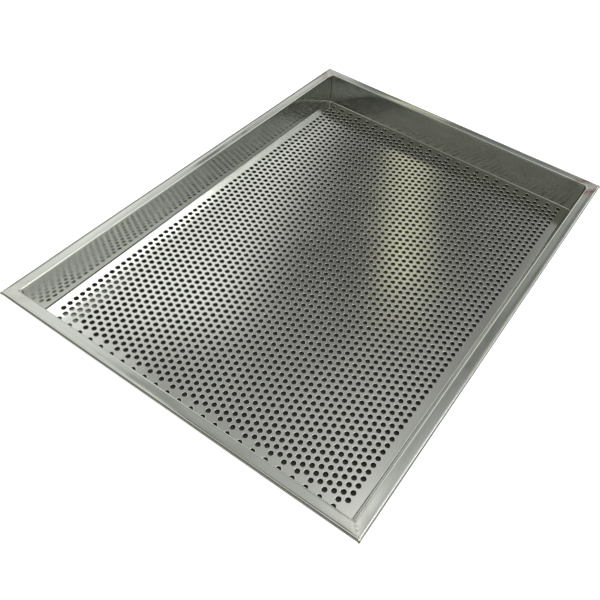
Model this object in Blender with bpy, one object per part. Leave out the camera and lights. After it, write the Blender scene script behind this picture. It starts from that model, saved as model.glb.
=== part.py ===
"""Baguette tray: a flat perforated sheet in a welded frame of four folded rails.

Run with:  blender --background --python part.py

Metres, +Z up.  The tray stands on z = 0, its origin is under its middle, and its
long sides run along Y.  The front end is at -Y and the right side is at +X.

Each rail is one folded strip: a ledge under the base, a sloping wall, a level
flange, and an edge curled over a stiffening wire.  The four rails meet in mitres
closed by corner welds, and the base lies on the ledges, held by plug welds.
"""

from math import atan2, ceil, cos, pi, radians, sin, sqrt, tan

import bmesh
import bpy

# Perforation that the sheet carries: rows of round holes staggered at 60 degrees.
HOLE_PITCH = 0.008
HOLE_DIAMETER = 0.005
HOLE_LINES = 49
HOLES_PER_LINE = 61

# Plain margins from the wall's foot to the middle of the nearest hole.
SIDE_MARGIN = 0.0117
END_MARGIN = 0.009

# Sheet, wire and weld sizes.
BASE_THICKNESS = 0.001
RAIL_THICKNESS = 0.0008
WIRE_RADIUS = 0.0008
FIT_GAP = 0.0003

# The rail's section.
TRAY_DEPTH = 0.035
WALL_SPREAD = 0.0065
FLANGE_WIDTH = 0.012
LEDGE_REACH = 0.0062
LEDGE_BEND_RADIUS = 0.0008
RIM_BEND_RADIUS = 0.0012
CURL_LEAD_RADIUS = 0.0026
CURL_LEAD_ANGLE = radians(20)
CURL_SWEEP = radians(242)

# Corner welds, across the mitre.
SEAM_HALF_WIDTH = 0.0007

# Plug welds through the ledge.
PLUG_RADIUS = 0.0015
PLUG_INSET = 0.0036
PLUG_CORNER_GAP = 0.036
END_PLUGS = 5
SIDE_PLUGS = 7
PLUG_RECESS = 0.0001

BASE_CORNER_RADIUS = 0.0015
ARC_STEP = radians(18)
ROUND_SIDES = 16
SMOOTH_BELOW = radians(35)

# Worked out from the sizes above.
FIELD_WIDTH = (HOLE_LINES - 1) * HOLE_PITCH * sqrt(3) / 2
FIELD_LENGTH = (HOLES_PER_LINE + 0.5) * HOLE_PITCH
HALF_WIDTH = FIELD_WIDTH / 2 + SIDE_MARGIN
HALF_LENGTH = FIELD_LENGTH / 2 + END_MARGIN
BASE_BOTTOM = RAIL_THICKNESS + FIT_GAP
BASE_TOP = BASE_BOTTOM + BASE_THICKNESS
RIM_TOP = BASE_TOP + TRAY_DEPTH
WALL_LEAN = atan2(WALL_SPREAD, TRAY_DEPTH)
SEAM_SETBACK = SEAM_HALF_WIDTH + FIT_GAP
CURL_RADIUS = WIRE_RADIUS + FIT_GAP + RAIL_THICKNESS / 2


def clear_scene():
    for old in list(bpy.data.objects):
        bpy.data.objects.remove(old, do_unlink=True)


def make_material(name, colour, roughness):
    material = bpy.data.materials.new(name)
    material.use_nodes = True
    shader = material.node_tree.nodes["Principled BSDF"]
    shader.inputs["Base Color"].default_value = (*colour, 1.0)
    shader.inputs["Roughness"].default_value = roughness
    shader.inputs["Metallic"].default_value = 1.0
    return material


def add_object(name, mesh_builder, material, parent, location=(0, 0, 0), turn=0.0):
    """Make a named object from a bmesh, with its own material."""
    mesh_builder.normal_update()
    bmesh.ops.recalc_face_normals(mesh_builder, faces=mesh_builder.faces)
    mesh = bpy.data.meshes.new(name)
    mesh_builder.to_mesh(mesh)
    mesh_builder.free()
    mesh.shade_smooth()
    mesh.set_sharp_from_angle(angle=SMOOTH_BELOW)
    mesh.materials.append(material)
    return place_mesh(name, mesh, parent, location, turn)


def place_mesh(name, mesh, parent, location, turn=0.0):
    piece = bpy.data.objects.new(name, mesh)
    piece.parent = parent
    piece.location = location
    piece.rotation_euler = (0, 0, turn)
    bpy.context.scene.collection.objects.link(piece)
    return piece


# ---- the rail's section, as a path of (outward, up, heading) through mid-sheet ----

def turn_path(path, radius, angle):
    """Carry a path round an arc; a positive angle turns it left."""
    out, up, heading = path[-1]
    side = 1 if angle > 0 else -1
    centre_out = out - side * radius * sin(heading)
    centre_up = up + side * radius * cos(heading)
    steps = max(2, ceil(abs(angle) / ARC_STEP))
    for step in range(1, steps + 1):
        h = heading + angle * step / steps
        path.append((centre_out + side * radius * sin(h), centre_up - side * radius * cos(h), h))


def run_path(path, length):
    out, up, heading = path[-1]
    path.append((out + length * cos(heading), up + length * sin(heading), heading))


def wall_line(up, wall_heading):
    """Where the wall's mid-sheet line crosses a level, measured outward."""
    return RAIL_THICKNESS / 2 / sin(wall_heading) + (up - BASE_TOP) / tan(wall_heading)


def rail_path():
    """The mid-sheet path from the ledge's edge to the curl's edge.

    Outward is measured from the wall's inner face at the base's top.  The second
    value returned is the index where the curl begins.
    """
    half = RAIL_THICKNESS / 2
    wall_heading = pi / 2 - WALL_LEAN
    ledge_radius = LEDGE_BEND_RADIUS + half
    rim_radius = RIM_BEND_RADIUS + half
    # Each bend starts this far from where its two straight stretches would cross.
    ledge_trim = ledge_radius * tan(wall_heading / 2)
    rim_trim = rim_radius * tan(wall_heading / 2)
    ledge_level = half
    flange_level = RIM_TOP - half
    ledge_corner = wall_line(ledge_level, wall_heading)
    rim_corner = wall_line(flange_level, wall_heading)
    wall_length = (flange_level - ledge_level) / sin(wall_heading) - ledge_trim - rim_trim
    outer_edge = WALL_SPREAD + FLANGE_WIDTH
    lead_run = CURL_LEAD_RADIUS * sin(CURL_LEAD_ANGLE)
    curl_run = CURL_RADIUS * sin(CURL_LEAD_ANGLE) + CURL_RADIUS + half
    flange_length = outer_edge - curl_run - lead_run - (rim_corner + rim_trim)

    path = [(-LEDGE_REACH, ledge_level, 0.0)]
    run_path(path, ledge_corner - ledge_trim + LEDGE_REACH)
    turn_path(path, ledge_radius, wall_heading)
    run_path(path, wall_length)
    turn_path(path, rim_radius, -wall_heading)
    run_path(path, flange_length)
    turn_path(path, CURL_LEAD_RADIUS, CURL_LEAD_ANGLE)
    curl_start = len(path) - 1
    turn_path(path, CURL_RADIUS, -CURL_SWEEP)
    return path, curl_start


def beside(path, offset):
    """Points a distance to the left of a path, or to the right if negative."""
    return [(out - offset * sin(h), up + offset * cos(h)) for out, up, h in path]


def curl_centre(path, curl_start):
    out, up, heading = path[curl_start]
    return out + CURL_RADIUS * sin(heading), up - CURL_RADIUS * cos(heading)


def rail_outline(path):
    half = RAIL_THICKNESS / 2
    return beside(path, half) + beside(path, -half)[::-1]


def seam_outline(path, curl_start):
    """The rail's section with its curl filled, as the weld bead leaves it."""
    half = RAIL_THICKNESS / 2
    return beside(path, half) + beside(path[:curl_start], -half)[::-1]


def wire_outline(centre):
    angles = [2 * pi * k / ROUND_SIDES for k in range(ROUND_SIDES)]
    return [(centre[0] + WIRE_RADIUS * cos(a), centre[1] + WIRE_RADIUS * sin(a)) for a in angles]


# ---- solids ----

def prism(outline, half_length_at, stretch=1.0):
    """Stretch an outline along X between ends whose reach depends on 'outward'."""
    bm = bmesh.new()
    rings = []
    for end in (-1, 1):
        ring = [bm.verts.new((end * half_length_at(out), -out * stretch, up)) for out, up in outline]
        rings.append(ring)
    count = len(outline)
    for k in range(count):
        after = (k + 1) % count
        bm.faces.new((rings[0][k], rings[0][after], rings[1][after], rings[1][k]))
    bm.faces.new(rings[0])
    bm.faces.new(rings[1])
    return bm


def mitred(half_span):
    """Reach of a rail or wire whose ends stop short of the 45 degree mitre plane."""
    return lambda out: half_span + out - SEAM_SETBACK * sqrt(2)


def add_disc(bm, radius, low, high, centre=(0.0, 0.0)):
    disc = bmesh.ops.create_cone(
        bm, cap_ends=True, segments=ROUND_SIDES, radius1=radius, radius2=radius, depth=high - low)
    shift = (centre[0], centre[1], (low + high) / 2)
    bmesh.ops.translate(bm, vec=shift, verts=disc["verts"])


def plug_places(half_span, count):
    """Distances along a rail of its plug welds, evenly spread between the corners."""
    reach = half_span - PLUG_CORNER_GAP
    return [-reach + 2 * reach * k / (count - 1) for k in range(count)]


def cut_plug_holes(rail, places, parent):
    """Round holes through the rail's ledge, one for each plug weld."""
    bm = bmesh.new()
    for along in places:
        add_disc(bm, PLUG_RADIUS + FIT_GAP, -RAIL_THICKNESS, 2 * RAIL_THICKNESS, (along, PLUG_INSET))
    mesh = bpy.data.meshes.new(rail.name + "_cutter")
    bm.to_mesh(mesh)
    bm.free()
    cutter = place_mesh(mesh.name, mesh, parent, rail.location, rail.rotation_euler.z)
    cutter.hide_render = True
    cutter.display_type = "WIRE"
    cut = rail.modifiers.new("plug_holes", "BOOLEAN")
    cut.operation = "DIFFERENCE"
    cut.solver = "EXACT"
    cut.object = cutter


def plug_mesh(material):
    bm = bmesh.new()
    add_disc(bm, PLUG_RADIUS, PLUG_RECESS, RAIL_THICKNESS)
    mesh = bpy.data.meshes.new("spot_weld")
    bm.to_mesh(mesh)
    bm.free()
    mesh.shade_smooth()
    mesh.set_sharp_from_angle(angle=SMOOTH_BELOW)
    mesh.materials.append(material)
    return mesh


def build_base(parent):
    """The flat sheet, as a plain plate of the sheet's true outline and thickness."""
    edge_gap = 2 * FIT_GAP
    reach_x = HALF_WIDTH - edge_gap - BASE_CORNER_RADIUS
    reach_y = HALF_LENGTH - edge_gap - BASE_CORNER_RADIUS
    corners = ((1, 1), (-1, 1), (-1, -1), (1, -1))
    corner_steps = 4
    bm = bmesh.new()
    rings = []
    for level in (BASE_BOTTOM, BASE_TOP):
        ring = []
        for quarter, (sx, sy) in enumerate(corners):
            for step in range(corner_steps + 1):
                angle = (quarter + step / corner_steps) * pi / 2
                x = sx * reach_x + BASE_CORNER_RADIUS * cos(angle)
                y = sy * reach_y + BASE_CORNER_RADIUS * sin(angle)
                ring.append(bm.verts.new((x, y, level)))
        rings.append(ring)
    bmesh.ops.bridge_loops(bm, edges=close_ring(bm, rings[0]) + close_ring(bm, rings[1]))
    bm.faces.new(rings[0])
    bm.faces.new(rings[1])
    steel = make_material("perforated_sheet", (0.60, 0.61, 0.58), 0.30)
    add_object("perforated_base", bm, steel, parent)


def close_ring(bm, ring):
    return [bm.edges.new((a, b)) for a, b in zip(ring, ring[1:] + ring[:1])]


def build_sides(parent):
    """Four rails with their wires and plug welds."""
    path, curl_start = rail_path()
    section = rail_outline(path)
    wire_section = wire_outline(curl_centre(path, curl_start))
    sides = (
        ("front", HALF_WIDTH, (0, -HALF_LENGTH, 0), 0.0, END_PLUGS),
        ("right", HALF_LENGTH, (HALF_WIDTH, 0, 0), pi / 2, SIDE_PLUGS),
        ("rear", HALF_WIDTH, (0, HALF_LENGTH, 0), pi, END_PLUGS),
        ("left", HALF_LENGTH, (-HALF_WIDTH, 0, 0), -pi / 2, SIDE_PLUGS),
    )
    plug = plug_mesh(make_material("plug_weld_metal", (0.52, 0.50, 0.47), 0.42))
    for side, half_span, place, turn, plugs in sides:
        steel = make_material(side + "_rail_steel", (0.66, 0.67, 0.64), 0.24)
        rail = add_object(side + "_rail", prism(section, mitred(half_span)), steel, parent, place, turn)
        wire_steel = make_material(side + "_wire_steel", (0.50, 0.51, 0.51), 0.38)
        wire = prism(wire_section, mitred(half_span))
        add_object(side + "_rim_wire", wire, wire_steel, parent, place, turn)
        places = plug_places(half_span, plugs)
        cut_plug_holes(rail, places, parent)
        for number, along in enumerate(places, 1):
            place_mesh(f"{side}_spot_weld_{number}", plug, rail, (along, PLUG_INSET, 0))


def build_corner_welds(parent):
    """One bead in each mitre, from the ledge up the wall and across the flange."""
    outline = seam_outline(*rail_path())
    corners = (
        ("front_right", 1, -1),
        ("rear_right", 1, 1),
        ("rear_left", -1, 1),
        ("front_left", -1, -1),
    )
    for corner, sx, sy in corners:
        turn = atan2(sx, -sy)
        place = (sx * HALF_WIDTH, sy * HALF_LENGTH, 0)
        bead = prism(outline, lambda out: SEAM_HALF_WIDTH, stretch=sqrt(2))
        metal = make_material(corner + "_weld_metal", (0.70, 0.69, 0.65), 0.34)
        add_object(corner + "_corner_weld", bead, metal, parent, place, turn)


def main():
    clear_scene()
    tray = place_mesh("baguette_tray", None, None, (0, 0, 0))
    build_base(tray)
    build_sides(tray)
    build_corner_welds(tray)


main()
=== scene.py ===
"""Looks for the baguette tray: the perforated sheet, folded rails, welds and steel.

Metres, +Z up.  The tray stands on z = 0 with its long sides along Y, the front end at
-Y and the right side at +X.  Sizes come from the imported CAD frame; the rail's section
follows the same path as the CAD source, with finer bends.
"""

from math import atan2, ceil, cos, pi, radians, sin, sqrt, tan

import bpy
import numpy as np
from mathutils import Euler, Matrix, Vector
from mathutils.geometry import delaunay_2d_cdt


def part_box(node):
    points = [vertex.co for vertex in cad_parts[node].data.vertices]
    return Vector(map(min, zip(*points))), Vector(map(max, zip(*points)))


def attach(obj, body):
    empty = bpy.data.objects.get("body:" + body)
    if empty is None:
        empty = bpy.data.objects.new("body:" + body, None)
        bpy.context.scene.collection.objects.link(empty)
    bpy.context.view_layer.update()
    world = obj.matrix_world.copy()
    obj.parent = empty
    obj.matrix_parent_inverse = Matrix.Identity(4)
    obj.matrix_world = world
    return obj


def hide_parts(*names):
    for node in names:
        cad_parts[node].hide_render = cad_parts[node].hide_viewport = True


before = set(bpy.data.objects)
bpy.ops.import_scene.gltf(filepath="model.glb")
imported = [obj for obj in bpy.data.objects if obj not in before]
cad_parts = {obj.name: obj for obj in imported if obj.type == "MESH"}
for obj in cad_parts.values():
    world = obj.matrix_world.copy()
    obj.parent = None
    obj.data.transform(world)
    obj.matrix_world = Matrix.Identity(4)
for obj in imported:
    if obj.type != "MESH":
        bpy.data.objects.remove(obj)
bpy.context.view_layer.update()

# ---- sizes ----

HOLE_PITCH = 0.008
HOLE_RADIUS = 0.0025
HOLE_LINES = 49
HOLES_PER_LINE = 61
HOLE_SIDES = 18
LINE_GAP = HOLE_PITCH * sqrt(3) / 2
LINE_SHIFT = 0.75
LIP_REACH = 0.00048
LIP_DROP = 0.00034
SHEET_SAG = 0.0007
FILLET_RADIUS = 0.0010
FILLET_GAP = 0.00015
FILLET_TURN = radians(72)
SHEET_CORNER = 0.0012
OUTLINE_STEP = 0.008
EDGE_BAND = 0.002

RAIL_THICKNESS = 0.0008
FIT_GAP = 0.0003
WALL_SPREAD = 0.0065
FLANGE_WIDTH = 0.012
LEDGE_REACH = 0.0062
LEDGE_BEND_RADIUS = 0.0008
RIM_BEND_RADIUS = 0.0012
CURL_LEAD_RADIUS = 0.0026
CURL_LEAD_ANGLE = radians(20)
CURL_SWEEP = radians(242)
WIRE_RADIUS = 0.0008
CURL_RADIUS = WIRE_RADIUS + FIT_GAP + RAIL_THICKNESS / 2
FLANGE_DISH = 0.00007
SEAM_HALF_WIDTH = 0.0007
ARC_STEP = radians(6)
SMOOTH_BELOW = radians(35)
SHADE_OVERLAP = 0.002

base_low, base_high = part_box("perforated_base")
HALF_WIDTH = base_high.x + 2 * FIT_GAP
HALF_LENGTH = base_high.y + 2 * FIT_GAP
BASE_BOTTOM = base_low.z
BASE_TOP = base_high.z
TRAY_DEPTH = 0.035
RIM_TOP = BASE_TOP + TRAY_DEPTH
WALL_LEAN = atan2(WALL_SPREAD, TRAY_DEPTH)


# ---- mesh helpers ----

def new_piece(name, mesh, material):
    piece = bpy.data.objects.new(name, mesh)
    bpy.context.scene.collection.objects.link(piece)
    mesh.materials.clear()
    mesh.materials.append(material)
    return piece


def quad_mesh(name, points, faces):
    mesh = bpy.data.meshes.new(name)
    mesh.from_pydata([tuple(p) for p in points], [], [tuple(f) for f in faces])
    mesh.validate()
    mesh.shade_smooth()
    mesh.set_sharp_from_angle(angle=SMOOTH_BELOW)
    return mesh


def add_attribute(mesh, name, values):
    layer = mesh.attributes.new(name, "FLOAT", "POINT")
    layer.data.foreach_set("value", np.asarray(values, np.float32))


# ---- the perforated sheet ----

def hole_centres():
    """Lines of holes along Y, every second line shifted to sit between its neighbours."""
    centres = []
    for line in range(HOLE_LINES):
        x = (line - (HOLE_LINES - 1) / 2) * LINE_GAP
        shift = LINE_SHIFT if line % 2 == 0 else -LINE_SHIFT
        for k in range(HOLES_PER_LINE):
            centres.append((x, (k - (HOLES_PER_LINE - 1) / 2 + shift) * HOLE_PITCH))
    return np.array(centres)


def in_hole_cell(points):
    """Whether the nearest place in the endless hole pattern is one of the real holes."""
    result = np.zeros(len(points), bool)
    best = np.full(len(points), 1e9)
    lines = np.round(points[:, 0] / LINE_GAP + (HOLE_LINES - 1) / 2)
    for step in (-1, 0, 1):
        line = lines + step
        shift = np.where(line % 2 == 0, LINE_SHIFT, -LINE_SHIFT)
        k = np.round(points[:, 1] / HOLE_PITCH + (HOLES_PER_LINE - 1) / 2 - shift)
        x = (line - (HOLE_LINES - 1) / 2) * LINE_GAP
        y = (k - (HOLES_PER_LINE - 1) / 2 + shift) * HOLE_PITCH
        away = np.hypot(points[:, 0] - x, points[:, 1] - y)
        real = (line >= 0) & (line < HOLE_LINES) & (k >= 0) & (k < HOLES_PER_LINE)
        result = np.where(away < best, real, result)
        best = np.minimum(best, away)
    return result


def sheet_outline(half_x, half_y, corner, gap):
    """Points round a rectangle with rounded corners, counter-clockwise."""
    points = []
    corners = ((1, 1, 0.0), (-1, 1, pi / 2), (-1, -1, pi), (1, -1, 3 * pi / 2))
    for sx, sy, start in corners:
        for step in range(7):
            a = start + step / 6 * pi / 2
            x = sx * (half_x - corner) + corner * cos(a)
            y = sy * (half_y - corner) + corner * sin(a)
            points.append((x, y))
    outline = []
    for here, after in zip(points, points[1:] + points[:1]):
        parts = max(1, round(sqrt((after[0] - here[0]) ** 2 + (after[1] - here[1]) ** 2) / gap))
        for k in range(parts):
            t = k / parts
            outline.append((here[0] + (after[0] - here[0]) * t, here[1] + (after[1] - here[1]) * t))
    return outline


def margin_triangles(flat, edges):
    """Triangles over the plain margin, counter-clockwise, as indices into the flat points."""
    points, _, faces, origin, _, _ = delaunay_2d_cdt(flat, edges, [], 1, 1e-7)
    faces = [f for f in faces if len(f) == 3]
    middles = np.array([[tuple(points[v]) for v in f] for f in faces]).mean(1)
    keep = ~in_hole_cell(middles)
    triangles = np.array([[origin[v][0] for v in f] for f, k in zip(faces, keep) if k])
    a, b, c = (np.array(flat)[triangles[:, k]] for k in range(3))
    turned = (b - a)[:, 0] * (c - a)[:, 1] - (b - a)[:, 1] * (c - a)[:, 0] < 0
    triangles[turned] = triangles[turned][:, ::-1]
    return triangles


def build_sheet(material):
    """The sheet with every hole cut, its rolled lips, and the fillet at the wall's foot."""
    centres = hole_centres()
    count = len(centres)
    angles = 2 * pi * np.arange(HOLE_SIDES) / HOLE_SIDES
    unit = np.stack([np.cos(angles), np.sin(angles)], 1)
    from_flat = (angles + pi / 6) % (pi / 3) - pi / 6
    from_flat = pi / 6 - np.abs(from_flat)
    cell = (HOLE_PITCH / 2 / np.cos(from_flat))[:, None] * unit
    top, low = BASE_TOP, BASE_BOTTOM
    # Each hole is a stack of rings: shared cell edge, rolled lip, bore, shared cell edge.
    rings = (
        (HOLE_RADIUS + LIP_REACH, top, 0.0),
        (HOLE_RADIUS + 0.60 * LIP_REACH, top - 0.06 * LIP_DROP, 0.15),
        (HOLE_RADIUS + 0.26 * LIP_REACH, top - 0.28 * LIP_DROP, 0.42),
        (HOLE_RADIUS + 0.06 * LIP_REACH, top - 0.62 * LIP_DROP, 0.78),
        (HOLE_RADIUS, top - LIP_DROP, 1.0),
        (HOLE_RADIUS, low, 1.0),
    )
    edge_xy = (centres[:, None, :] + cell[None]).reshape(-1, 2)
    keys = np.round(edge_xy / 1e-6).astype(np.int64)
    shared, first, where = np.unique(keys, axis=0, return_index=True, return_inverse=True)
    where = where.reshape(-1)
    shared_xy = edge_xy[first]
    shared_count = len(shared)
    cell_ids = where.reshape(count, HOLE_SIDES)

    points = [np.c_[shared_xy, np.full(shared_count, top)], np.c_[shared_xy, np.full(shared_count, low)]]
    ring_ids = []
    offset = 2 * shared_count
    for radius, level, _ in rings:
        xy = (centres[:, None, :] + radius * unit[None]).reshape(-1, 2)
        points.append(np.c_[xy, np.full(len(xy), level)])
        ring_ids.append(offset + np.arange(len(xy)).reshape(count, HOLE_SIDES))
        offset += len(xy)

    # Plain margin out to the sheet's edge, where a small fillet runs up to the wall.
    fillet = []
    for turn in np.linspace(0, 1, 7) * FILLET_TURN:
        inset = FILLET_RADIUS * (1 - sin(turn)) + FILLET_GAP
        corner = SHEET_CORNER + FILLET_RADIUS + FILLET_GAP - inset
        ring = sheet_outline(HALF_WIDTH - inset, HALF_LENGTH - inset, corner, OUTLINE_STEP)
        fillet.append((np.array(ring), FILLET_RADIUS * (1 - cos(turn)), turn))
    outline = fillet[0][0]
    outline_count = len(outline)
    fillet_ids = []
    for ring, rise, _ in fillet + [(fillet[-1][0], low - top, 0.0)]:
        points.append(np.c_[ring, np.full(outline_count, top + rise)])
        fillet_ids.append(offset + np.arange(outline_count))
        offset += outline_count
    outline_top, outline_low = fillet_ids[0], fillet_ids[-1]

    edges = np.stack([cell_ids, np.roll(cell_ids, -1, 1)], 2).reshape(-1, 2)
    ordered = np.sort(edges, 1)
    _, index, times = np.unique(ordered, axis=0, return_index=True, return_counts=True)
    border = edges[index[times == 1]]
    border_ids = np.unique(border)
    local = {int(v): k for k, v in enumerate(border_ids)}
    flat = [Vector(shared_xy[v]) for v in border_ids] + [Vector(p) for p in outline]
    flat_low = flat[:len(border_ids)] + [Vector(p) for p in fillet[-1][0]]
    start = len(border_ids)
    flat_edges = [(local[int(a)], local[int(b)]) for a, b in border]
    flat_edges += [(start + k, start + (k + 1) % outline_count) for k in range(outline_count)]
    top_of = np.r_[border_ids, outline_top]
    low_of = np.r_[border_ids + shared_count, outline_low]
    top_triangles = top_of[margin_triangles(flat, flat_edges)]
    low_triangles = low_of[margin_triangles(flat_low, flat_edges)][:, ::-1]

    def band(outer, inner):
        return np.stack([outer, np.roll(outer, -1, 1), np.roll(inner, -1, 1), inner], 2).reshape(-1, 4)

    up = np.array([0.0, 0.0, 1.0])
    inward = np.c_[-unit, np.zeros(HOLE_SIDES)]
    ring_normals = []
    for _, _, turn in rings:
        n = up * cos(turn * pi / 2) + inward * sin(turn * pi / 2)
        ring_normals.append(n)

    def band_normals(outer, inner):
        each = np.stack([outer, np.roll(outer, -1, 0), np.roll(inner, -1, 0), inner], 1)
        return np.tile(each, (count, 1, 1)).reshape(-1, 3)

    flat_up = np.tile(up, (HOLE_SIDES, 1))
    quads = [band(cell_ids, ring_ids[0])]
    normals = [band_normals(flat_up, flat_up)]
    for k in range(len(rings) - 1):
        quads.append(band(ring_ids[k], ring_ids[k + 1]))
        normals.append(band_normals(ring_normals[k], ring_normals[k + 1]))
    quads.append(band(ring_ids[-1], cell_ids + shared_count))
    normals.append(band_normals(-flat_up, -flat_up))
    rim = fillet[-1][0]
    core = np.array([HALF_WIDTH - EDGE_BAND, HALF_LENGTH - EDGE_BAND])
    away = rim - np.clip(rim, -core, core)
    away = np.c_[away / np.linalg.norm(away, axis=1)[:, None], np.zeros(outline_count)]

    def fillet_band(near, far, near_normal, far_normal):
        quads.append(np.stack([near, far, np.roll(far, -1), np.roll(near, -1)], 1))
        each = [near_normal, far_normal, np.roll(far_normal, -1, 0), np.roll(near_normal, -1, 0)]
        normals.append(np.stack(each, 1).reshape(-1, 3))

    slopes = [up * cos(turn) - away * sin(turn) for _, _, turn in fillet]
    for k in range(len(fillet) - 1):
        fillet_band(fillet_ids[k], fillet_ids[k + 1], slopes[k], slopes[k + 1])
    fillet_band(fillet_ids[-2], outline_low, away, away)
    quads = np.concatenate(quads)
    normals.append(np.tile(up, (3 * len(top_triangles), 1)))
    normals.append(np.tile(-up, (3 * len(low_triangles), 1)))
    normals = np.concatenate(normals)
    points = np.concatenate(points)

    # The sheet dishes slightly between its welded edges.
    sway_x, sway_y = pi / (2 * HALF_WIDTH), pi / (2 * HALF_LENGTH)
    points[:, 2] -= SHEET_SAG * np.cos(sway_x * points[:, 0]) * np.cos(sway_y * points[:, 1])
    loops = np.concatenate([quads.ravel(), top_triangles.ravel(), low_triangles.ravel()])
    x, y = points[loops, 0], points[loops, 1]
    tilt = np.abs(normals[:, 2])
    sign = np.sign(normals[:, 2])
    normals[:, 0] -= sign * tilt * SHEET_SAG * sway_x * np.sin(sway_x * x) * np.cos(sway_y * y)
    normals[:, 1] -= sign * tilt * SHEET_SAG * sway_y * np.cos(sway_x * x) * np.sin(sway_y * y)
    normals /= np.linalg.norm(normals, axis=1)[:, None]

    sizes = np.r_[np.full(len(quads), 4), np.full(len(top_triangles) + len(low_triangles), 3)]
    starts = np.r_[0, np.cumsum(sizes)[:-1]]
    mesh = bpy.data.meshes.new("perforated_sheet")
    mesh.vertices.add(len(points))
    mesh.vertices.foreach_set("co", points.astype(np.float32).ravel())
    mesh.loops.add(len(loops))
    mesh.loops.foreach_set("vertex_index", loops.astype(np.int32))
    mesh.polygons.add(len(sizes))
    mesh.polygons.foreach_set("loop_start", starts.astype(np.int32))
    mesh.update(calc_edges=True)
    mesh.shade_smooth()
    mesh.normals_split_custom_set(normals.tolist())
    in_bore = np.zeros(len(points))
    in_bore[np.concatenate(ring_ids[-2:]).ravel()] = 1
    add_attribute(mesh, "bore", in_bore)
    # Painted shade: the joint at the wall's foot along the near part of the left side is painted dark.
    foot = np.zeros(len(points))
    foot[np.concatenate(fillet_ids[2:])] = 1
    foot *= np.clip((-0.172 - points[:, 0]) / 0.003, 0, 1) * np.clip((0.02 - points[:, 1]) / 0.15, 0, 1)
    add_attribute(mesh, "painted_joint_shade", foot)
    sheet = new_piece("perforated_sheet", mesh, material)
    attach(sheet, "root")
    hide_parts("perforated_base")


# ---- the rails' section, as a path of (outward, up, heading) through mid-sheet ----

def turn_path(path, radius, angle):
    out, up, heading = path[-1]
    side = 1 if angle > 0 else -1
    centre_out = out - side * radius * sin(heading)
    centre_up = up + side * radius * cos(heading)
    steps = max(2, ceil(abs(angle) / ARC_STEP))
    for step in range(1, steps + 1):
        h = heading + angle * step / steps
        path.append((centre_out + side * radius * sin(h), centre_up - side * radius * cos(h), h))


def run_path(path, length, parts):
    out, up, heading = path[-1]
    for k in range(1, parts + 1):
        along = length * k / parts
        path.append((out + along * cos(heading), up + along * sin(heading), heading))


def wall_line(up, wall_heading):
    return RAIL_THICKNESS / 2 / sin(wall_heading) + (up - BASE_TOP) / tan(wall_heading)


def rail_path():
    """The path from the ledge's edge to the curl's edge, and where each stretch begins."""
    half = RAIL_THICKNESS / 2
    wall_heading = pi / 2 - WALL_LEAN
    ledge_radius = LEDGE_BEND_RADIUS + half
    rim_radius = RIM_BEND_RADIUS + half
    ledge_trim = ledge_radius * tan(wall_heading / 2)
    rim_trim = rim_radius * tan(wall_heading / 2)
    flange_level = RIM_TOP - half
    ledge_corner = wall_line(half, wall_heading)
    rim_corner = wall_line(flange_level, wall_heading)
    wall_length = (flange_level - half) / sin(wall_heading) - ledge_trim - rim_trim
    lead_run = CURL_LEAD_RADIUS * sin(CURL_LEAD_ANGLE)
    curl_run = CURL_RADIUS * sin(CURL_LEAD_ANGLE) + CURL_RADIUS + half
    flange_length = WALL_SPREAD + FLANGE_WIDTH - curl_run - lead_run - (rim_corner + rim_trim)

    path = [(-LEDGE_REACH, half, 0.0)]
    marks = {}
    run_path(path, ledge_corner - ledge_trim + LEDGE_REACH, 3)
    marks["ledge"] = len(path) - 1
    turn_path(path, ledge_radius, wall_heading)
    marks["wall"] = len(path) - 1
    run_path(path, wall_length, 14)
    marks["rim"] = len(path) - 1
    turn_path(path, rim_radius, -wall_heading)
    marks["flange"] = len(path) - 1
    run_path(path, flange_length, 8)
    marks["lead"] = len(path) - 1
    turn_path(path, CURL_LEAD_RADIUS, CURL_LEAD_ANGLE)
    marks["curl"] = len(path) - 1
    turn_path(path, CURL_RADIUS, -CURL_SWEEP)
    return path, marks


def ripple(x, waves):
    """A smooth wander along a length: a sum of (wavelength, phase, height) waves."""
    return sum(height * np.sin(2 * pi * x / length + phase) for length, phase, height in waves)


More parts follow.
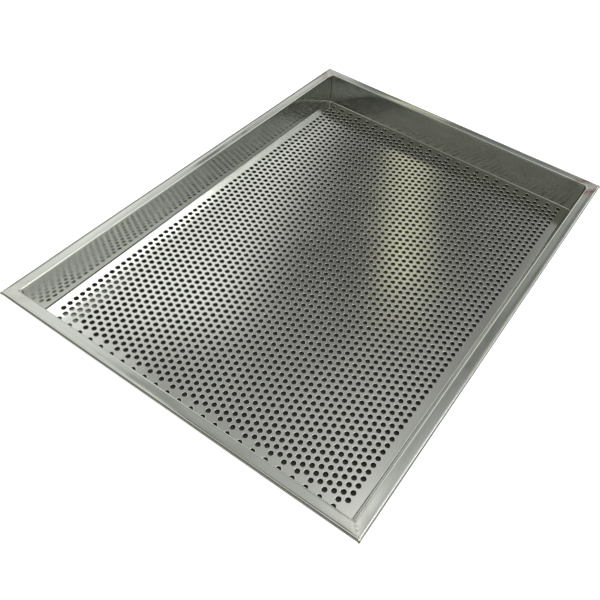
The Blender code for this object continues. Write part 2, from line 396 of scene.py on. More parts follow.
def make_rail(side, half_span, place, turn, heats, spread, curl_shade, waves, rim_waves, material, plugs):
    """One folded rail, lofted from its section, with the values its material needs."""
    path, marks = rail_path()
    spine = np.array(path)
    out, up, heading = spine.T
    count = len(spine)
    normal_out, normal_up = -np.sin(heading), np.cos(heading)
    # How freely each part of the section moves off its line: the wall bows, the rim rides up and down.
    freedom = np.zeros(count)
    wall = np.arange(marks["wall"], marks["rim"] + 1)
    freedom[wall] = np.sin(pi * (wall - wall[0]) / (wall[-1] - wall[0]))
    steps = np.arange(count)
    rim_freedom = np.clip((steps - marks["rim"]) / (marks["lead"] - marks["rim"]), 0, 1)
    flange = np.arange(marks["flange"], marks["lead"] + 1)
    up = up.copy()
    up[flange] -= FLANGE_DISH * np.sin(pi * (flange - flange[0]) / (flange[-1] - flange[0]))

    fine = np.linspace(0, 1, 13)[:-1] * 0.10
    stations = np.r_[-1 + fine, np.linspace(-0.90, 0.90, 61), (1 - fine)[::-1]]
    half = RAIL_THICKNESS / 2
    layers = []
    for offset in (half, -half):
        o = out + offset * normal_out
        z = up + offset * normal_up
        reach = half_span + o - SEAM_HALF_WIDTH * sqrt(2) * 0.9
        x = stations[:, None] * reach[None]
        held = 1 - stations[:, None] ** 6
        shift = ripple(x, waves) * freedom[None] * held
        lift = ripple(x, rim_waves) * rim_freedom[None] * held
        y = -(o[None] + shift * normal_out[None])
        layers.append(np.stack([x, y, z[None] + shift * normal_up[None] + lift], 2))
    rows = len(stations)
    points = np.concatenate([layers[0].reshape(-1, 3), layers[1].reshape(-1, 3)])
    inner = np.arange(rows * count).reshape(rows, count)
    outer = inner + rows * count
    faces = []

    def strip(a, b, c, d):
        faces.append(np.stack([a.ravel(), b.ravel(), c.ravel(), d.ravel()], 1))

    strip(inner[:-1, :-1], inner[1:, :-1], inner[1:, 1:], inner[:-1, 1:])
    strip(outer[:-1, :-1], outer[:-1, 1:], outer[1:, 1:], outer[1:, :-1])
    for k, flip in ((0, False), (count - 1, True)):
        ends = (inner[:-1, k], outer[:-1, k], outer[1:, k], inner[1:, k])
        strip(*(ends[::-1] if flip else ends))
    for r, flip in ((0, False), (rows - 1, True)):
        ends = (inner[r, :-1], inner[r, 1:], outer[r, 1:], outer[r, :-1])
        strip(*(ends[::-1] if flip else ends))
    mesh = quad_mesh(side + "_rail_sheet", points, np.concatenate(faces))
    x = points[:, 0]
    distance = (half_span - points[:, 1] - np.abs(x)) / sqrt(2)
    add_attribute(mesh, "weld_distance", distance)
    add_attribute(mesh, "mitre_along", (np.abs(x) - points[:, 1]) / sqrt(2))
    over = np.clip((steps - marks["rim"]) / (marks["lead"] - marks["rim"]), 0, 1)
    on_flange = np.where(over > 0, spread[0] + (spread[1] - spread[0]) * over, 0.08)
    add_attribute(mesh, "weld_heat", np.where(x < 0, heats[0], heats[1]) * np.tile(on_flange, 2 * rows))
    on_wall = np.clip((steps - marks["wall"]) / 2, 0, 1) * np.clip((marks["rim"] - steps) / 1.5, 0, 1)
    add_attribute(mesh, "on_wall", np.tile(on_wall, 2 * rows))
    strength, start = curl_shade
    # Painted shade: the curl is painted dark past its start angle, where it turns outward and down, and the
    # ledge's top under the sheet is painted dark too.
    tip = strength * np.clip((-heading - radians(start)) / radians(24), 0, 1) * (steps > marks["curl"])
    shadowed = np.where(steps < marks["ledge"], 1.0, tip)
    add_attribute(mesh, "curl_and_ledge_shade", np.r_[np.tile(shadowed, rows), np.tile(tip, rows)])
    rail = new_piece(side + "_rail_sheet", mesh, material)
    rail.location = place
    rail.rotation_euler = (0, 0, turn)
    press_dimples(rail, plugs)
    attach(rail, "root")
    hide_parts(side + "_rail")
    return rail


def press_dimples(rail, plugs):
    """Shallow round recesses in the ledge's underside, one for each plug weld."""
    points, faces = [], []
    sides = 28
    bpy.context.view_layer.update()
    to_rail = rail.matrix_world.inverted()
    for node in plugs:
        low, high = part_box(node)
        centre = to_rail @ ((low + high) / 2)
        start = len(points)
        for level, radius in ((-0.0004, 0.0022), (0.00035, 0.00185)):
            for k in range(sides):
                a = 2 * pi * k / sides
                points.append((centre.x + radius * cos(a), centre.y + radius * sin(a), level))
        for k in range(sides):
            after = (k + 1) % sides
            faces.append((start + k, start + after, start + sides + after, start + sides + k))
        faces.append([start + k for k in range(sides)][::-1])
        faces.append([start + sides + k for k in range(sides)])
    mesh = bpy.data.meshes.new("dimple_cutter")
    mesh.from_pydata(points, [], faces)
    cutter = bpy.data.objects.new("dimple_cutter", mesh)
    bpy.context.scene.collection.objects.link(cutter)
    cutter.matrix_world = rail.matrix_world
    cut = rail.modifiers.new("dimples", "BOOLEAN")
    cut.operation = "DIFFERENCE"
    cut.solver = "EXACT"
    cut.object = cutter
    bpy.context.view_layer.update()
    graph = bpy.context.evaluated_depsgraph_get()
    done = bpy.data.meshes.new_from_object(rail.evaluated_get(graph), depsgraph=graph)
    rail.modifiers.clear()
    rail.data = done
    bpy.data.objects.remove(cutter)
    done.shade_smooth()
    done.set_sharp_from_angle(angle=SMOOTH_BELOW)


def make_plug_weld(node, material):
    """A dished button with a raised ring, as a resistance weld leaves it."""
    low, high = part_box(node)
    centre = (low + high) / 2
    profile = (
        (0.0, 0.00016), (0.0004, 0.00015), (0.0008, 0.00012), (0.0011, 0.00007), (0.00135, 0.00004),
        (0.00155, 0.00005), (0.0017, 0.00011), (0.00182, 0.00024), (0.00184, 0.00038),
    )
    sides = 32
    points = [(centre.x, centre.y, profile[0][1])]
    for radius, level in profile[1:]:
        for k in range(sides):
            a = 2 * pi * k / sides
            points.append((centre.x + radius * cos(a), centre.y + radius * sin(a), level))
    points.append((centre.x, centre.y, 0.0005))
    faces = []
    rings = len(profile) - 1
    for k in range(sides):
        after = (k + 1) % sides
        faces.append((0, 1 + after, 1 + k))
        for r in range(rings - 1):
            a, b = 1 + r * sides, 1 + (r + 1) * sides
            faces.append((a + k, a + after, b + after, b + k))
        last = 1 + (rings - 1) * sides
        faces.append((last + k, last + after, len(points) - 1))
    mesh = quad_mesh(node + "_button", points, faces)
    weld = new_piece(node + "_button", mesh, material)
    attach(weld, "root")
    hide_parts(node)


def make_corner_weld(corner, sx, sy, material, seed):
    """A bead along the mitre: rippled up the wall, dressed nearly flush on the flange."""
    path, marks = rail_path()
    dense = []
    for here, after in zip(path, path[1:]):
        gap = sqrt((after[0] - here[0]) ** 2 + (after[1] - here[1]) ** 2)
        parts = max(1, ceil(gap / 0.00025))
        for k in range(parts):
            t = k / parts
            dense.append([h + (a - h) * t for h, a in zip(here, after)])
    dense.append(list(path[-1]))
    spine = np.array(dense)
    out, up, heading = spine.T
    steps = np.hypot(np.diff(out), np.diff(up))
    travel = np.r_[0, np.cumsum(steps)]
    mid_out, mid_up = path[marks["rim"]][0], path[marks["rim"]][1]
    rim_travel = travel[np.argmin(np.hypot(out - mid_out, up - mid_up))]
    rng = np.random.default_rng(seed)
    curl_out, curl_up = path[marks["curl"]][0], path[marks["curl"]][1]
    index_curl = np.argmin(np.hypot(out - curl_out, up - curl_up))
    on_wall = 1 / (1 + np.exp((travel - rim_travel) / 0.0006))
    drift = 1 + 0.25 * np.sin(travel / 0.0047 + seed) * np.sin(travel / 0.0019 + 2 * seed)
    scales = 0.5 + 0.5 * np.cos(2 * pi * (travel + 0.00025 * np.sin(travel / 0.003)) / 0.0011)
    height = on_wall * (0.00003 + 0.00002 * scales) * drift + (1 - on_wall) * (0.00004 + 0.00001 * scales)
    dressed = (1 - on_wall) / (1 + np.exp((travel - travel[index_curl]) / 0.0006))
    width = SEAM_HALF_WIDTH * (1.15 + 0.05 * on_wall * drift + 0.7 * dressed)
    for spot in 0.0022 + 0.0021 * np.arange(3) + rng.uniform(-0.0004, 0.0004, 3):
        lump = np.exp(-((travel - rim_travel - spot) / 0.00075) ** 2)
        height = height + 0.00005 * lump
        width = width + 0.00018 * lump
    # The weld fills the corner between the walls with a fillet, largest under the rim.
    steep = np.clip(heading / (0.35 * heading[np.argmax(heading)]), 0, 1) * (travel < rim_travel + 0.003)
    below_rim = np.clip(rim_travel - travel, 0, 1)
    fillet = steep * (0.0010 + 0.0022 * np.exp(-(below_rim / 0.006) ** 2))
    across = np.linspace(-1, 1, 13)
    dome = np.clip(1 - across ** 2, 0, 1) ** 1.4
    half = RAIL_THICKNESS / 2
    normal_out, normal_up = -np.sin(heading), np.cos(heading)
    rows, columns = len(spine), len(across)
    layers = []
    for side in (1, -1):
        lift = half + (height[:, None] * dome[None] if side > 0 else 0.00006 * dome[None]) - 0.00002
        o = out[:, None] + side * lift * normal_out[:, None]
        z = up[:, None] + side * lift * normal_up[:, None]
        x = width[:, None] * across[None]
        if side > 0:
            x = np.maximum(width, 0.96 * fillet / sqrt(2))[:, None] * across[None]
            round_part = np.sqrt(np.clip(fillet[:, None] ** 2 - x ** 2, 0, None))
            inset = np.maximum(sqrt(2) * fillet[:, None] - round_part, 0) * (fillet[:, None] > 1e-6)
            o = o - np.where(np.abs(x) < fillet[:, None] / sqrt(2), inset / sqrt(2), 0)
        layers.append(np.stack([x, -o * sqrt(2), z], 2).reshape(-1, 3))
    points = np.concatenate(layers)
    top = np.arange(rows * columns).reshape(rows, columns)
    under = top + rows * columns
    faces = []
    for r in range(rows - 1):
        for c in range(columns - 1):
            faces.append((top[r, c], top[r, c + 1], top[r + 1, c + 1], top[r + 1, c]))
            faces.append((under[r, c], under[r + 1, c], under[r + 1, c + 1], under[r, c + 1]))
        faces.append((top[r, 0], top[r + 1, 0], under[r + 1, 0], under[r, 0]))
        faces.append((top[r, -1], under[r, -1], under[r + 1, -1], top[r + 1, -1]))
    for c in range(columns - 1):
        faces.append((top[0, c], under[0, c], under[0, c + 1], top[0, c + 1]))
        faces.append((top[-1, c], top[-1, c + 1], under[-1, c + 1], under[-1, c]))
    mesh = quad_mesh(corner + "_bead", points, faces)
    dull = np.maximum(on_wall, 0.8 / (1 + np.exp((travel[index_curl] + 0.0012 - travel) / 0.0004)))
    add_attribute(mesh, "dull", np.tile(np.repeat(dull, columns), 2))
    bead = new_piece(corner + "_bead", mesh, material)
    bead.location = (sx * HALF_WIDTH, sy * HALF_LENGTH, 0)
    bead.rotation_euler = (0, 0, atan2(sx, -sy))
    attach(bead, "root")
    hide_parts(corner + "_corner_weld")


# ---- materials ----

class Graph:
    """Short calls for wiring a node tree."""

    def __init__(self, tree):
        self.tree = tree

    def feed(self, socket, value):
        if isinstance(value, bpy.types.NodeSocket):
            self.tree.links.new(value, socket)
        else:
            socket.default_value = value

    def add(self, kind, feeds=(), **settings):
        node = self.tree.nodes.new(kind)
        for name, value in settings.items():
            setattr(node, name, value)
        for key, value in feeds:
            self.feed(node.inputs[key], value)
        return node

    def math(self, operation, *values, clamp=False):
        node = self.add("ShaderNodeMath", operation=operation, use_clamp=clamp)
        for socket, value in zip(node.inputs, values):
            self.feed(socket, value)
        return node.outputs[0]

    def fade(self, value, low, high, to_low=0.0, to_high=1.0):
        node = self.add("ShaderNodeMapRange", interpolation_type="SMOOTHSTEP")
        for socket, given in zip(node.inputs, (value, low, high, to_low, to_high)):
            self.feed(socket, given)
        return node.outputs[0]

    def mix(self, factor, a, b, blend="MIX"):
        node = self.add("ShaderNodeMix", data_type="RGBA", blend_type=blend)
        self.feed(node.inputs[0], factor)
        self.feed(node.inputs[6], a)
        self.feed(node.inputs[7], b)
        return node.outputs[2]

    def noise(self, vector, scale, detail=3.0, roughness=0.5, distortion=0.0):
        node = self.add("ShaderNodeTexNoise", (("Vector", vector), ("Scale", scale), ("Detail", detail)))
        self.feed(node.inputs["Roughness"], roughness)
        self.feed(node.inputs["Distortion"], distortion)
        return node.outputs[0]

    def stretch(self, vector, sizes):
        """Coordinates scaled so that one unit of noise is each size, in metres, long."""
        scale = tuple(1 / s for s in sizes)
        return self.add("ShaderNodeMapping", (("Vector", vector), ("Scale", scale))).outputs[0]

    def bump(self, height, distance, strength=1.0, normal=None):
        feeds = [("Height", height), ("Distance", distance), ("Strength", strength)]
        if normal is not None:
            feeds.append(("Normal", normal))
        return self.add("ShaderNodeBump", feeds).outputs[0]


def start_material(name):
    material = bpy.data.materials.new(name)
    material.use_nodes = True
    graph = Graph(material.node_tree)
    shader = material.node_tree.nodes["Principled BSDF"]
    shader.inputs["Metallic"].default_value = 1.0
    place = graph.add("ShaderNodeTexCoord").outputs["Object"]
    return material, graph, shader, place


def colour(red, green, blue):
    return (red, green, blue, 1.0)


def sheet_material():
    """Satin sheet rolled along Y, with a fine grain, faint smears and light scratches."""
    material, g, shader, place = start_material("satin_perforated_steel")
    grain = g.noise(g.stretch(place, (0.0011, 0.011, 0.01)), 1.0, 4.0, 0.6)
    speck = g.noise(g.stretch(place, (0.0009, 0.0011, 0.01)), 1.0, 3.0, 0.6)
    smear = g.noise(g.stretch(place, (0.06, 0.11, 0.05)), 1.0, 3.0, 0.55, 0.6)
    scratch_field = g.noise(g.stretch(place, (0.0007, 0.06, 0.01)), 1.0, 1.0, 0.5)
    scratch = g.fade(scratch_field, 0.70, 0.74)
    light = g.mix(smear, colour(0.60, 0.605, 0.575), colour(0.68, 0.685, 0.66))
    tone = g.mix(g.math("MULTIPLY", speck, 0.5), light, colour(0.74, 0.75, 0.73))
    bore = g.add("ShaderNodeAttribute", attribute_name="bore").outputs["Fac"]
    foot_shade = g.add("ShaderNodeAttribute", attribute_name="painted_joint_shade").outputs["Fac"]
    # Painted shade: the hole bores are painted near black, as the shade inside the holes.
    tone = g.mix(bore, tone, colour(0.11, 0.11, 0.10))
    # Painted shade: the fillet at the wall's foot near the left side's front end is painted dark.
    tone = g.mix(g.math("MULTIPLY", foot_shade, 0.9), tone, colour(0.07, 0.065, 0.055))
    g.feed(shader.inputs["Base Color"], tone)
    rough = g.math("ADD", g.fade(grain, 0.3, 0.7, 0.10, 0.14), g.fade(smear, 0.35, 0.7, 0.0, 0.04))
    rough = g.math("ADD", rough, g.math("MULTIPLY", bore, 0.35))
    rough = g.math("ADD", rough, g.math("MULTIPLY", scratch, 0.12))
    g.feed(shader.inputs["Roughness"], rough)
    shader.inputs["Anisotropic"].default_value = 0.35
    tangent = g.add("ShaderNodeCombineXYZ", (("X", 0.0), ("Y", 1.0), ("Z", 0.0)))
    g.feed(shader.inputs["Tangent"], tangent.outputs[0])
    height = g.math("ADD", g.math("MULTIPLY", grain, 0.6), g.math("MULTIPLY", speck, 0.4))
    height = g.math("SUBTRACT", height, g.math("MULTIPLY", scratch, 0.3))
    g.feed(shader.inputs["Normal"], g.bump(height, 0.0000025, 0.4))
    return material


def rail_material():
    """Folded strip: grain along the rail, cross rub marks, and heat tint at the mitres."""
    material, g, shader, place = start_material("folded_rail_steel")
    along = g.noise(g.stretch(place, (0.030, 0.0009, 0.0009)), 1.0, 4.0, 0.6)
    cross = g.noise(g.stretch(place, (0.0014, 0.02, 0.02)), 1.0, 3.0, 0.6)
    smear = g.noise(g.stretch(place, (0.055, 0.03, 0.03)), 1.0, 3.0, 0.55, 0.8)
    distance = g.add("ShaderNodeAttribute", attribute_name="weld_distance").outputs["Fac"]
    heat = g.add("ShaderNodeAttribute", attribute_name="weld_heat").outputs["Fac"]
    wander = g.noise(g.stretch(place, (0.008, 0.008, 0.008)), 1.0, 2.0, 0.5)
    reach = g.math("ADD", distance, g.math("MULTIPLY", g.math("SUBTRACT", wander, 0.5), 0.006))
    bands = g.add("ShaderNodeValToRGB", (("Fac", g.fade(reach, 0.0, 0.020)),))
    ramp = bands.color_ramp
    ramp.elements[0].position = 0.0
    ramp.elements[0].color = colour(0.60, 0.58, 0.55)
    ramp.elements[1].position = 1.0
    ramp.elements[1].color = colour(0.63, 0.635, 0.60)
    tints = ((0.30, (0.52, 0.43, 0.41)), (0.50, (0.35, 0.25, 0.24)), (0.74, (0.56, 0.46, 0.42)))
    for position, tint in tints:
        step = ramp.elements.new(position)
        step.color = colour(*tint)
    plain = g.mix(smear, colour(0.57, 0.585, 0.555), colour(0.665, 0.68, 0.655))
    share = g.math("MULTIPLY", heat, g.fade(reach, 0.013, 0.023, 1.0, 0.0))
    tone = g.mix(share, plain, bands.outputs[0])
    # Painted shade: the ledge under the sheet and the curl's outer part are painted dark brown, less
    # metallic and rougher.
    curl_and_ledge_shade = g.add("ShaderNodeAttribute", attribute_name="curl_and_ledge_shade").outputs["Fac"]
    curl_and_ledge_shade = g.math("MULTIPLY", curl_and_ledge_shade, g.fade(wander, 0.15, 0.55, 0.85, 1.1), clamp=True)
    tone = g.mix(curl_and_ledge_shade, tone, colour(0.10, 0.075, 0.06))
    # Where the mitre was dressed, short strokes run across it.
    on_wall = g.add("ShaderNodeAttribute", attribute_name="on_wall").outputs["Fac"]
    along_mitre = g.add("ShaderNodeAttribute", attribute_name="mitre_along").outputs["Fac"]
    across_mitre = g.math("DIVIDE", distance, 0.025)
    along_mitre = g.math("DIVIDE", along_mitre, 0.0013)
    stroke_place = g.add("ShaderNodeCombineXYZ", (("X", across_mitre), ("Y", along_mitre)))
    strokes = g.noise(stroke_place.outputs[0], 1.0, 3.0, 0.6)
    ground = g.fade(g.math("ADD", distance, g.math("MULTIPLY", strokes, 0.020)), 0.012, 0.019, 1.0, 0.0)
    ground = g.math("MULTIPLY", ground, g.math("SUBTRACT", 1.0, on_wall))
    rubbed = g.mix(strokes, colour(0.55, 0.55, 0.52), colour(0.80, 0.80, 0.77))
    tone = g.mix(g.math("MULTIPLY", ground, 0.4), tone, rubbed)
    g.feed(shader.inputs["Base Color"], tone)
    g.feed(shader.inputs["Metallic"], g.math("SUBTRACT", 1.0, curl_and_ledge_shade, clamp=True))
    rough = g.math("ADD", g.fade(along, 0.3, 0.7, 0.075, 0.12), g.fade(smear, 0.35, 0.65, 0.0, 0.08))
    rough = g.math("MULTIPLY", rough, g.fade(on_wall, 0.0, 1.0, 1.0, 0.95))
    rough = g.math("ADD", rough, g.math("MULTIPLY", ground, g.fade(strokes, 0.35, 0.65, 0.10, 0.26)))
    rough = g.math("ADD", rough, g.math("MULTIPLY", curl_and_ledge_shade, 0.35))
    g.feed(shader.inputs["Roughness"], rough)
    shader.inputs["Anisotropic"].default_value = 0.10
    shader.inputs["Specular IOR Level"].default_value = 0.10
    spaces = {"vector_type": "VECTOR", "convert_from": "OBJECT", "convert_to": "WORLD"}
    tangent = g.add("ShaderNodeVectorTransform", (("Vector", (1.0, 0.0, 0.0)),), **spaces)
    g.feed(shader.inputs["Tangent"], tangent.outputs[0])
    fine = g.math("ADD", g.math("MULTIPLY", along, 0.7), g.math("MULTIPLY", cross, 0.3))
    shallow = g.bump(fine, 0.000003, g.fade(on_wall, 0.0, 1.0, 0.5, 0.08))
    g.feed(shader.inputs["Normal"], g.bump(strokes, 0.000010, g.math("MULTIPLY", ground, 0.7), shallow))
    return material


def bead_material():
    """Dressed weld metal: bright crests, darker hollows, a little straw colour."""
    material, g, shader, place = start_material("weld_bead_metal")
    mottle = g.noise(g.stretch(place, (0.0014, 0.0014, 0.0014)), 1.0, 4.0, 0.65)
    ground = g.noise(g.stretch(place, (0.012, 0.0007, 0.0007)), 1.0, 2.0, 0.5)
    tone = g.mix(g.fade(mottle, 0.35, 0.65), colour(0.50, 0.47, 0.42), colour(0.76, 0.76, 0.73))
    dull = g.add("ShaderNodeAttribute", attribute_name="dull").outputs["Fac"]
    dark = g.mix(mottle, colour(0.20, 0.19, 0.17), colour(0.42, 0.41, 0.38))
    g.feed(shader.inputs["Base Color"], g.mix(dull, tone, dark))
    rough = g.math("ADD", g.fade(mottle, 0.3, 0.7, 0.34, 0.18), g.math("MULTIPLY", dull, 0.12))
    g.feed(shader.inputs["Roughness"], rough)
    g.feed(shader.inputs["Normal"], g.bump(g.math("ADD", mottle, ground), 0.00006, 0.6))
    return material


def button_material():
    material, g, shader, place = start_material("plug_weld_metal")
    mottle = g.noise(g.stretch(place, (0.0010, 0.0010, 0.0010)), 1.0, 4.0, 0.65)
    tone = g.mix(g.fade(mottle, 0.35, 0.65), colour(0.36, 0.33, 0.31), colour(0.62, 0.60, 0.56))
    g.feed(shader.inputs["Base Color"], tone)
    g.feed(shader.inputs["Roughness"], g.fade(mottle, 0.3, 0.7, 0.30, 0.48))
    g.feed(shader.inputs["Normal"], g.bump(mottle, 0.00005, 0.7))
    return material


def wire_material():
    """Drawn wire: fine lines along it and a duller skin."""
    material, g, shader, place = start_material("drawn_rim_wire")
    lines = g.noise(g.stretch(place, (0.0004, 0.0004, 0.0004)), 1.0, 3.0, 0.6)
    g.feed(shader.inputs["Base Color"], g.mix(lines, colour(0.42, 0.42, 0.41), colour(0.58, 0.58, 0.56)))
    g.feed(shader.inputs["Roughness"], g.fade(lines, 0.3, 0.7, 0.30, 0.45))
    g.feed(shader.inputs["Normal"], g.bump(lines, 0.00003, 0.6))
    return material


# ---- surroundings ----

def plain_material(name, tone, roughness):
    material = bpy.data.materials.new(name)
    material.use_nodes = True
    shader = material.node_tree.nodes["Principled BSDF"]
    shader.inputs["Base Color"].default_value = colour(*tone)
    shader.inputs["Roughness"].default_value = roughness
    shader.inputs["Specular IOR Level"].default_value = 0.1
    return material


def floor_material():
    """A pale floor, lit from below where it is seen directly so that it stays white."""
    material = plain_material("pale_floor", (0.90, 0.90, 0.90), 0.9)
    g = Graph(material.node_tree)
    shader = material.node_tree.nodes["Principled BSDF"]
    shader.inputs["Emission Color"].default_value = colour(1.0, 1.0, 1.0)
    seen = g.add("ShaderNodeLightPath").outputs["Is Camera Ray"]
    g.feed(shader.inputs["Emission Strength"], g.fade(seen, 0.0, 1.0, 0.10, 0.90))
    return material


def paint_light_strip(material):
    """A painted pool of light: a paler strip on the dark underlay under the near end of the left side."""
    g = Graph(material.node_tree)
    shader = material.node_tree.nodes["Principled BSDF"]
    place = g.add("ShaderNodeTexCoord").outputs["Object"]
    x, y, _ = g.add("ShaderNodeSeparateXYZ", (("Vector", place),)).outputs
    strip = g.fade(g.math("ABSOLUTE", g.math("ADD", x, 0.153)), 0.004, 0.012, 1.0, 0.0)
    strip = g.math("MULTIPLY", strip, g.fade(y, -0.235, -0.13, 1.0, 0.0))
    g.feed(shader.inputs["Base Color"], g.mix(strip, colour(0.050, 0.051, 0.048), colour(0.50, 0.50, 0.48)))


def add_plane(name, half_x, half_y, level, material):
    corners = ((-1, -1), (1, -1), (1, 1), (-1, 1))
    points = [(sx * half_x, sy * half_y, level) for sx, sy in corners]
    mesh = bpy.data.meshes.new(name)
    mesh.from_pydata(points, [], [(0, 1, 2, 3)])
    mesh.materials.append(material)
    plane = bpy.data.objects.new(name, mesh)
    bpy.context.scene.collection.objects.link(plane)


def light_world():
    """A soft room: a bright window on the left, a warm strip lamp, dim walls behind."""
    world = bpy.data.worlds.new("soft_room")
    bpy.context.scene.world = world
    world.use_nodes = True
    world.node_tree.nodes.clear()
    g = Graph(world.node_tree)
    direction = g.add("ShaderNodeTexCoord").outputs["Generated"]
    x, y, z = g.add("ShaderNodeSeparateXYZ", (("Vector", direction),)).outputs
    rise = g.math("MAXIMUM", z, 0.04)
    across = g.math("DIVIDE", x, rise)
    ahead = g.math("DIVIDE", y, rise)

    room = g.fade(ahead, 0.50, 0.92, 0.43, 0.13)
    far_end = g.math("MULTIPLY", g.fade(ahead, 1.46, 1.58, 0.0, 0.16), g.fade(across, 0.2, 0.6, 1.0, 0.0))
    room = g.math("ADD", room, far_end)
    # The window's edge slants, and beyond it the room is dim.
    past = g.math("SUBTRACT", ahead, 0.66)
    lean = g.math("MAXIMUM", g.math("MULTIPLY", past, 0.34), g.math("MULTIPLY", past, -0.85))
    lean = g.math("SUBTRACT", lean, g.fade(ahead, 0.41, 0.46, 0.15, 0.0))
    edge = g.math("ADD", across, lean)
    window = g.fade(edge, -0.615, -0.455, 1.0, 0.0)
    window = g.math("MULTIPLY", window, g.fade(ahead, 0.44, 0.66, 0.60, 1.0))
    window = g.math("MULTIPLY", window, g.fade(ahead, 1.45, 1.55, 1.0, 0.5))
    # A narrow post stands in the window.
    post = g.fade(g.math("ABSOLUTE", g.math("ADD", across, 0.965)), 0.055, 0.095, 1.0, 0.0)
    post = g.math("MULTIPLY", post, g.fade(ahead, 0.93, 1.0))
    post = g.math("MULTIPLY", post, g.fade(ahead, 1.30, 1.38, 1.0, 0.0))
    window = g.math("MULTIPLY", window, g.math("SUBTRACT", 1.0, post))
    window = g.math("MULTIPLY", window, g.fade(across, -0.94, -0.87, 0.77, 1.0))
    window = g.math("MULTIPLY", window, g.fade(across, -2.2, -1.3))
    near_glow = g.math("MULTIPLY", g.fade(across, -0.42, -0.19), g.fade(across, -0.17, -0.12, 1.0, 0.45))
    near_glow = g.math("MULTIPLY", near_glow, g.fade(ahead, 0.80, 1.25, 0.21, 0.03))
    corner_glow = g.math("MULTIPLY", g.fade(across, -0.20, -0.11), g.fade(ahead, 0.48, 0.58, 0.56, 0.0))
    far_glow = g.math("MULTIPLY", g.fade(across, -0.19, -0.12), g.fade(ahead, 0.85, 1.20, 0.0, 0.27))
    far_glow = g.math("MULTIPLY", far_glow, g.fade(ahead, 1.7, 2.3, 1.0, 0.45))
    deep = g.math("MULTIPLY", g.fade(ahead, 2.2, 2.6), g.fade(across, 1.1, 1.4))
    far_glow = g.math("MULTIPLY", far_glow, g.math("SUBTRACT", 1.0, deep))
    room = g.math("MULTIPLY", room, g.math("SUBTRACT", 1.0, g.math("MULTIPLY", deep, 0.6)))
    # A pale wall to the right, bright where it faces the room's middle.
    facing = g.math("ARCTAN2", y, x)
    right = g.math("MULTIPLY", g.fade(facing, 0.46, 0.74, 1.0, 0.10), g.fade(facing, -0.7, -0.2))
    right = g.math("MULTIPLY", right, g.fade(across, 1.1, 1.6))
    # Light beyond the far end, low down, and the soft end of the long softbox.
    side = g.math("SUBTRACT", g.math("MULTIPLY", y, 0.8), g.math("MULTIPLY", x, 0.6))
    beyond = g.math("MULTIPLY", g.fade(z, 0.26, 0.42, 1.0, 0.0), g.fade(side, 0.42, 0.60))
    soft_end = g.fade(g.math("ABSOLUTE", g.math("SUBTRACT", across, 0.335)), 0.07, 0.14, 1.0, 0.0)
    soft_end = g.math("MULTIPLY", soft_end, g.fade(ahead, 0.80, 1.25, 1.5, 0.0))
    soft_end = g.math("MULTIPLY", soft_end, g.fade(ahead, 0.55, 0.70))
    # A high panel beyond the far end, wider as it goes back.
    panel_edge = g.fade(ahead, 1.40, 1.60, 0.52, 0.02)
    panel = g.fade(g.math("SUBTRACT", across, panel_edge), 0.0, 0.12)
    panel = g.math("MULTIPLY", panel, g.fade(across, 0.95, 1.15, 1.0, 0.0))
    panel = g.math("MULTIPLY", panel, g.fade(ahead, 0.90, 1.15))
    panel = g.math("MULTIPLY", panel, g.fade(ahead, 1.75, 2.05, 1.0, 0.0))
    level = g.math("ADD", room, g.math("MULTIPLY", window, 0.88))
    parts = (
        (near_glow, 1.0), (corner_glow, 1.0), (far_glow, 1.0),
        (right, 0.70), (beyond, 1.1), (soft_end, 1.0), (panel, 2.2),
    )
    for part, share in parts:
        level = g.math("ADD", level, g.math("MULTIPLY", part, share))
    # A pale ceiling overhead, and behind a low wall that is lighter on the left.
    ceiling = g.math("MULTIPLY", g.fade(ahead, 0.40, 0.22), g.fade(across, -0.42, -0.34, 0.75, 0.08))
    level = g.math("ADD", level, ceiling)
    behind = g.fade(ahead, 0.0, -0.45)
    low_wall = g.math("MULTIPLY", g.fade(x, -0.03, 0.05, 1.0, 0.25), g.fade(x, -0.30, -0.05, 0.26, 0.19))
    dim = g.mix(g.fade(z, 0.30, 0.45), low_wall, colour(0.18, 0.18, 0.18))
    level = g.mix(behind, level, g.mix(1.0, dim, colour(1.0, 1.0, 0.86), "MULTIPLY"))
    lamp_side = g.math("SUBTRACT", g.math("ADD", across, g.math("MULTIPLY", ahead, 0.52)), 0.168)
    lamp = g.fade(g.math("ABSOLUTE", lamp_side), 0.030, 0.078, 1.0, 0.0)
    lamp = g.math("MULTIPLY", lamp, g.fade(ahead, 0.85, 0.97))
    tinted = g.mix(1.0, level, colour(0.985, 1.0, 0.955), "MULTIPLY")
    warm = g.mix(g.math("MULTIPLY", lamp, 0.82), tinted, colour(1.02, 1.0, 0.70))
    sky = g.add("ShaderNodeBackground", (("Color", warm), ("Strength", 1.0)))
    backdrop = g.add("ShaderNodeBackground", (("Color", colour(1.0, 1.0, 1.0)), ("Strength", 1.0)))
    seen = g.add("ShaderNodeLightPath").outputs["Is Camera Ray"]
    both = g.add("ShaderNodeMixShader", ((0, seen), (1, sky.outputs[0]), (2, backdrop.outputs[0])))
    output = g.add("ShaderNodeOutputWorld")
    g.feed(output.inputs["Surface"], both.outputs[0])


def add_lights():
    """A long softbox over the right side; the room itself gives the rest."""
    box = bpy.data.lights.new("long_softbox", "AREA")
    box.shape = "RECTANGLE"
    box.size = 0.54
    box.size_y = 1.5
    box.energy = 3.3 * pi * box.size * box.size_y
    lamp = bpy.data.objects.new("long_softbox", box)
    bpy.context.scene.collection.objects.link(lamp)
    lamp.location = (0.74, 0.85, 2.2)
    lamp.visible_camera = False


def add_camera():
    data = bpy.data.cameras.new("camera")
    data.lens = 39.93
    data.sensor_width = 36
    data.shift_x = -0.0188
    data.shift_y = 0.0365
    data.clip_start = 0.01
    data.clip_end = 100
    camera = bpy.data.objects.new("camera", data)
    camera.location = (0.24426, -0.47485, 0.50666)
    camera.rotation_euler = Euler((radians(40.443), radians(-4.902), radians(34.835)))
    bpy.context.scene.collection.objects.link(camera)
    bpy.context.scene.camera = camera
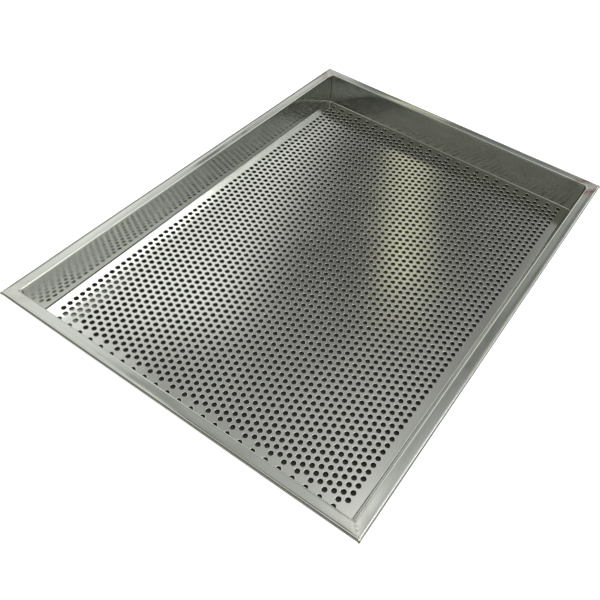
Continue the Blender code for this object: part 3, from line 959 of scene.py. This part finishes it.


# ---- assembly ----

# Each side: its name, half its span, its place and turn, how strong the heat tint is at its two
# ends and over the flange's inner and outer part, and the curl's painted shade as strength and start angle.
SIDES = (
    ("front", HALF_WIDTH, (0, -HALF_LENGTH, 0), 0.0, (0.10, 0.15), (1.0, 1.0), (0.75, 56)),
    ("right", HALF_LENGTH, (HALF_WIDTH, 0, 0), pi / 2, (0.15, 1.00), (1.0, 0.85), (0.65, 26)),
    ("rear", HALF_WIDTH, (0, HALF_LENGTH, 0), pi, (1.00, 0.30), (0.20, 1.0), (0.55, -6)),
    ("left", HALF_LENGTH, (-HALF_WIDTH, 0, 0), -pi / 2, (0.30, 0.10), (1.0, 1.0), (0.85, -18)),
)
# Waves along each wall and each rim, as (wavelength, phase, height).
WAVES = {
    "front": ((0.115, 0.4, 0.00005), (0.046, 2.1, 0.00002)),
    "right": ((0.150, 1.7, 0.00006), (0.052, 0.3, 0.00002)),
    "rear": ((0.128, 2.9, 0.00006), (0.049, 1.2, 0.00002)),
    "left": ((0.160, 0.9, 0.00006), (0.057, 2.6, 0.00002)),
}
RIM_WAVES = {
    "front": ((0.170, 1.1, 0.00010), (0.071, 0.2, 0.00004)),
    "right": ((0.190, 0.6, 0.00012), (0.083, 2.2, 0.00005)),
    "rear": ((0.160, 2.0, 0.00010), (0.074, 1.0, 0.00004)),
    "left": ((0.210, 2.7, 0.00012), (0.088, 0.5, 0.00005)),
}
CORNERS = (("front_right", 1, -1), ("rear_right", 1, 1), ("rear_left", -1, 1), ("front_left", -1, -1))

build_sheet(sheet_material())
steel = rail_material()
wire_steel = wire_material()
button_steel = button_material()
for side, half_span, place, turn, heats, spread, curl_shade in SIDES:
    plugs = sorted(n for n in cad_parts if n.startswith(side + "_spot_weld_"))
    waves, rim_waves = WAVES[side], RIM_WAVES[side]
    make_rail(side, half_span, place, turn, heats, spread, curl_shade, waves, rim_waves, steel, plugs)
    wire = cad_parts[side + "_rim_wire"]
    wire.data.materials.clear()
    wire.data.materials.append(wire_steel)
    for node in plugs:
        make_plug_weld(node, button_steel)
bead_steel = bead_material()
for number, (corner, sx, sy) in enumerate(CORNERS):
    make_corner_weld(corner, sx, sy, bead_steel, number + 3)

add_plane("pale_floor", 40, 40, -0.0002, floor_material())
# Painted shade: a dark sheet under the tray, just inside the sheet's edge, stands in for the shade beneath
# it and shows through the holes.
shade = plain_material("painted_shade_underlay", (0.050, 0.051, 0.048), 0.9)
paint_light_strip(shade)
shade_inset = LEDGE_REACH - SHADE_OVERLAP
add_plane("painted_shade_underlay", HALF_WIDTH - shade_inset, HALF_LENGTH - shade_inset, 0.00005, shade)
light_world()
add_lights()
add_camera()
bpy.context.scene.view_settings.view_transform = "Standard"
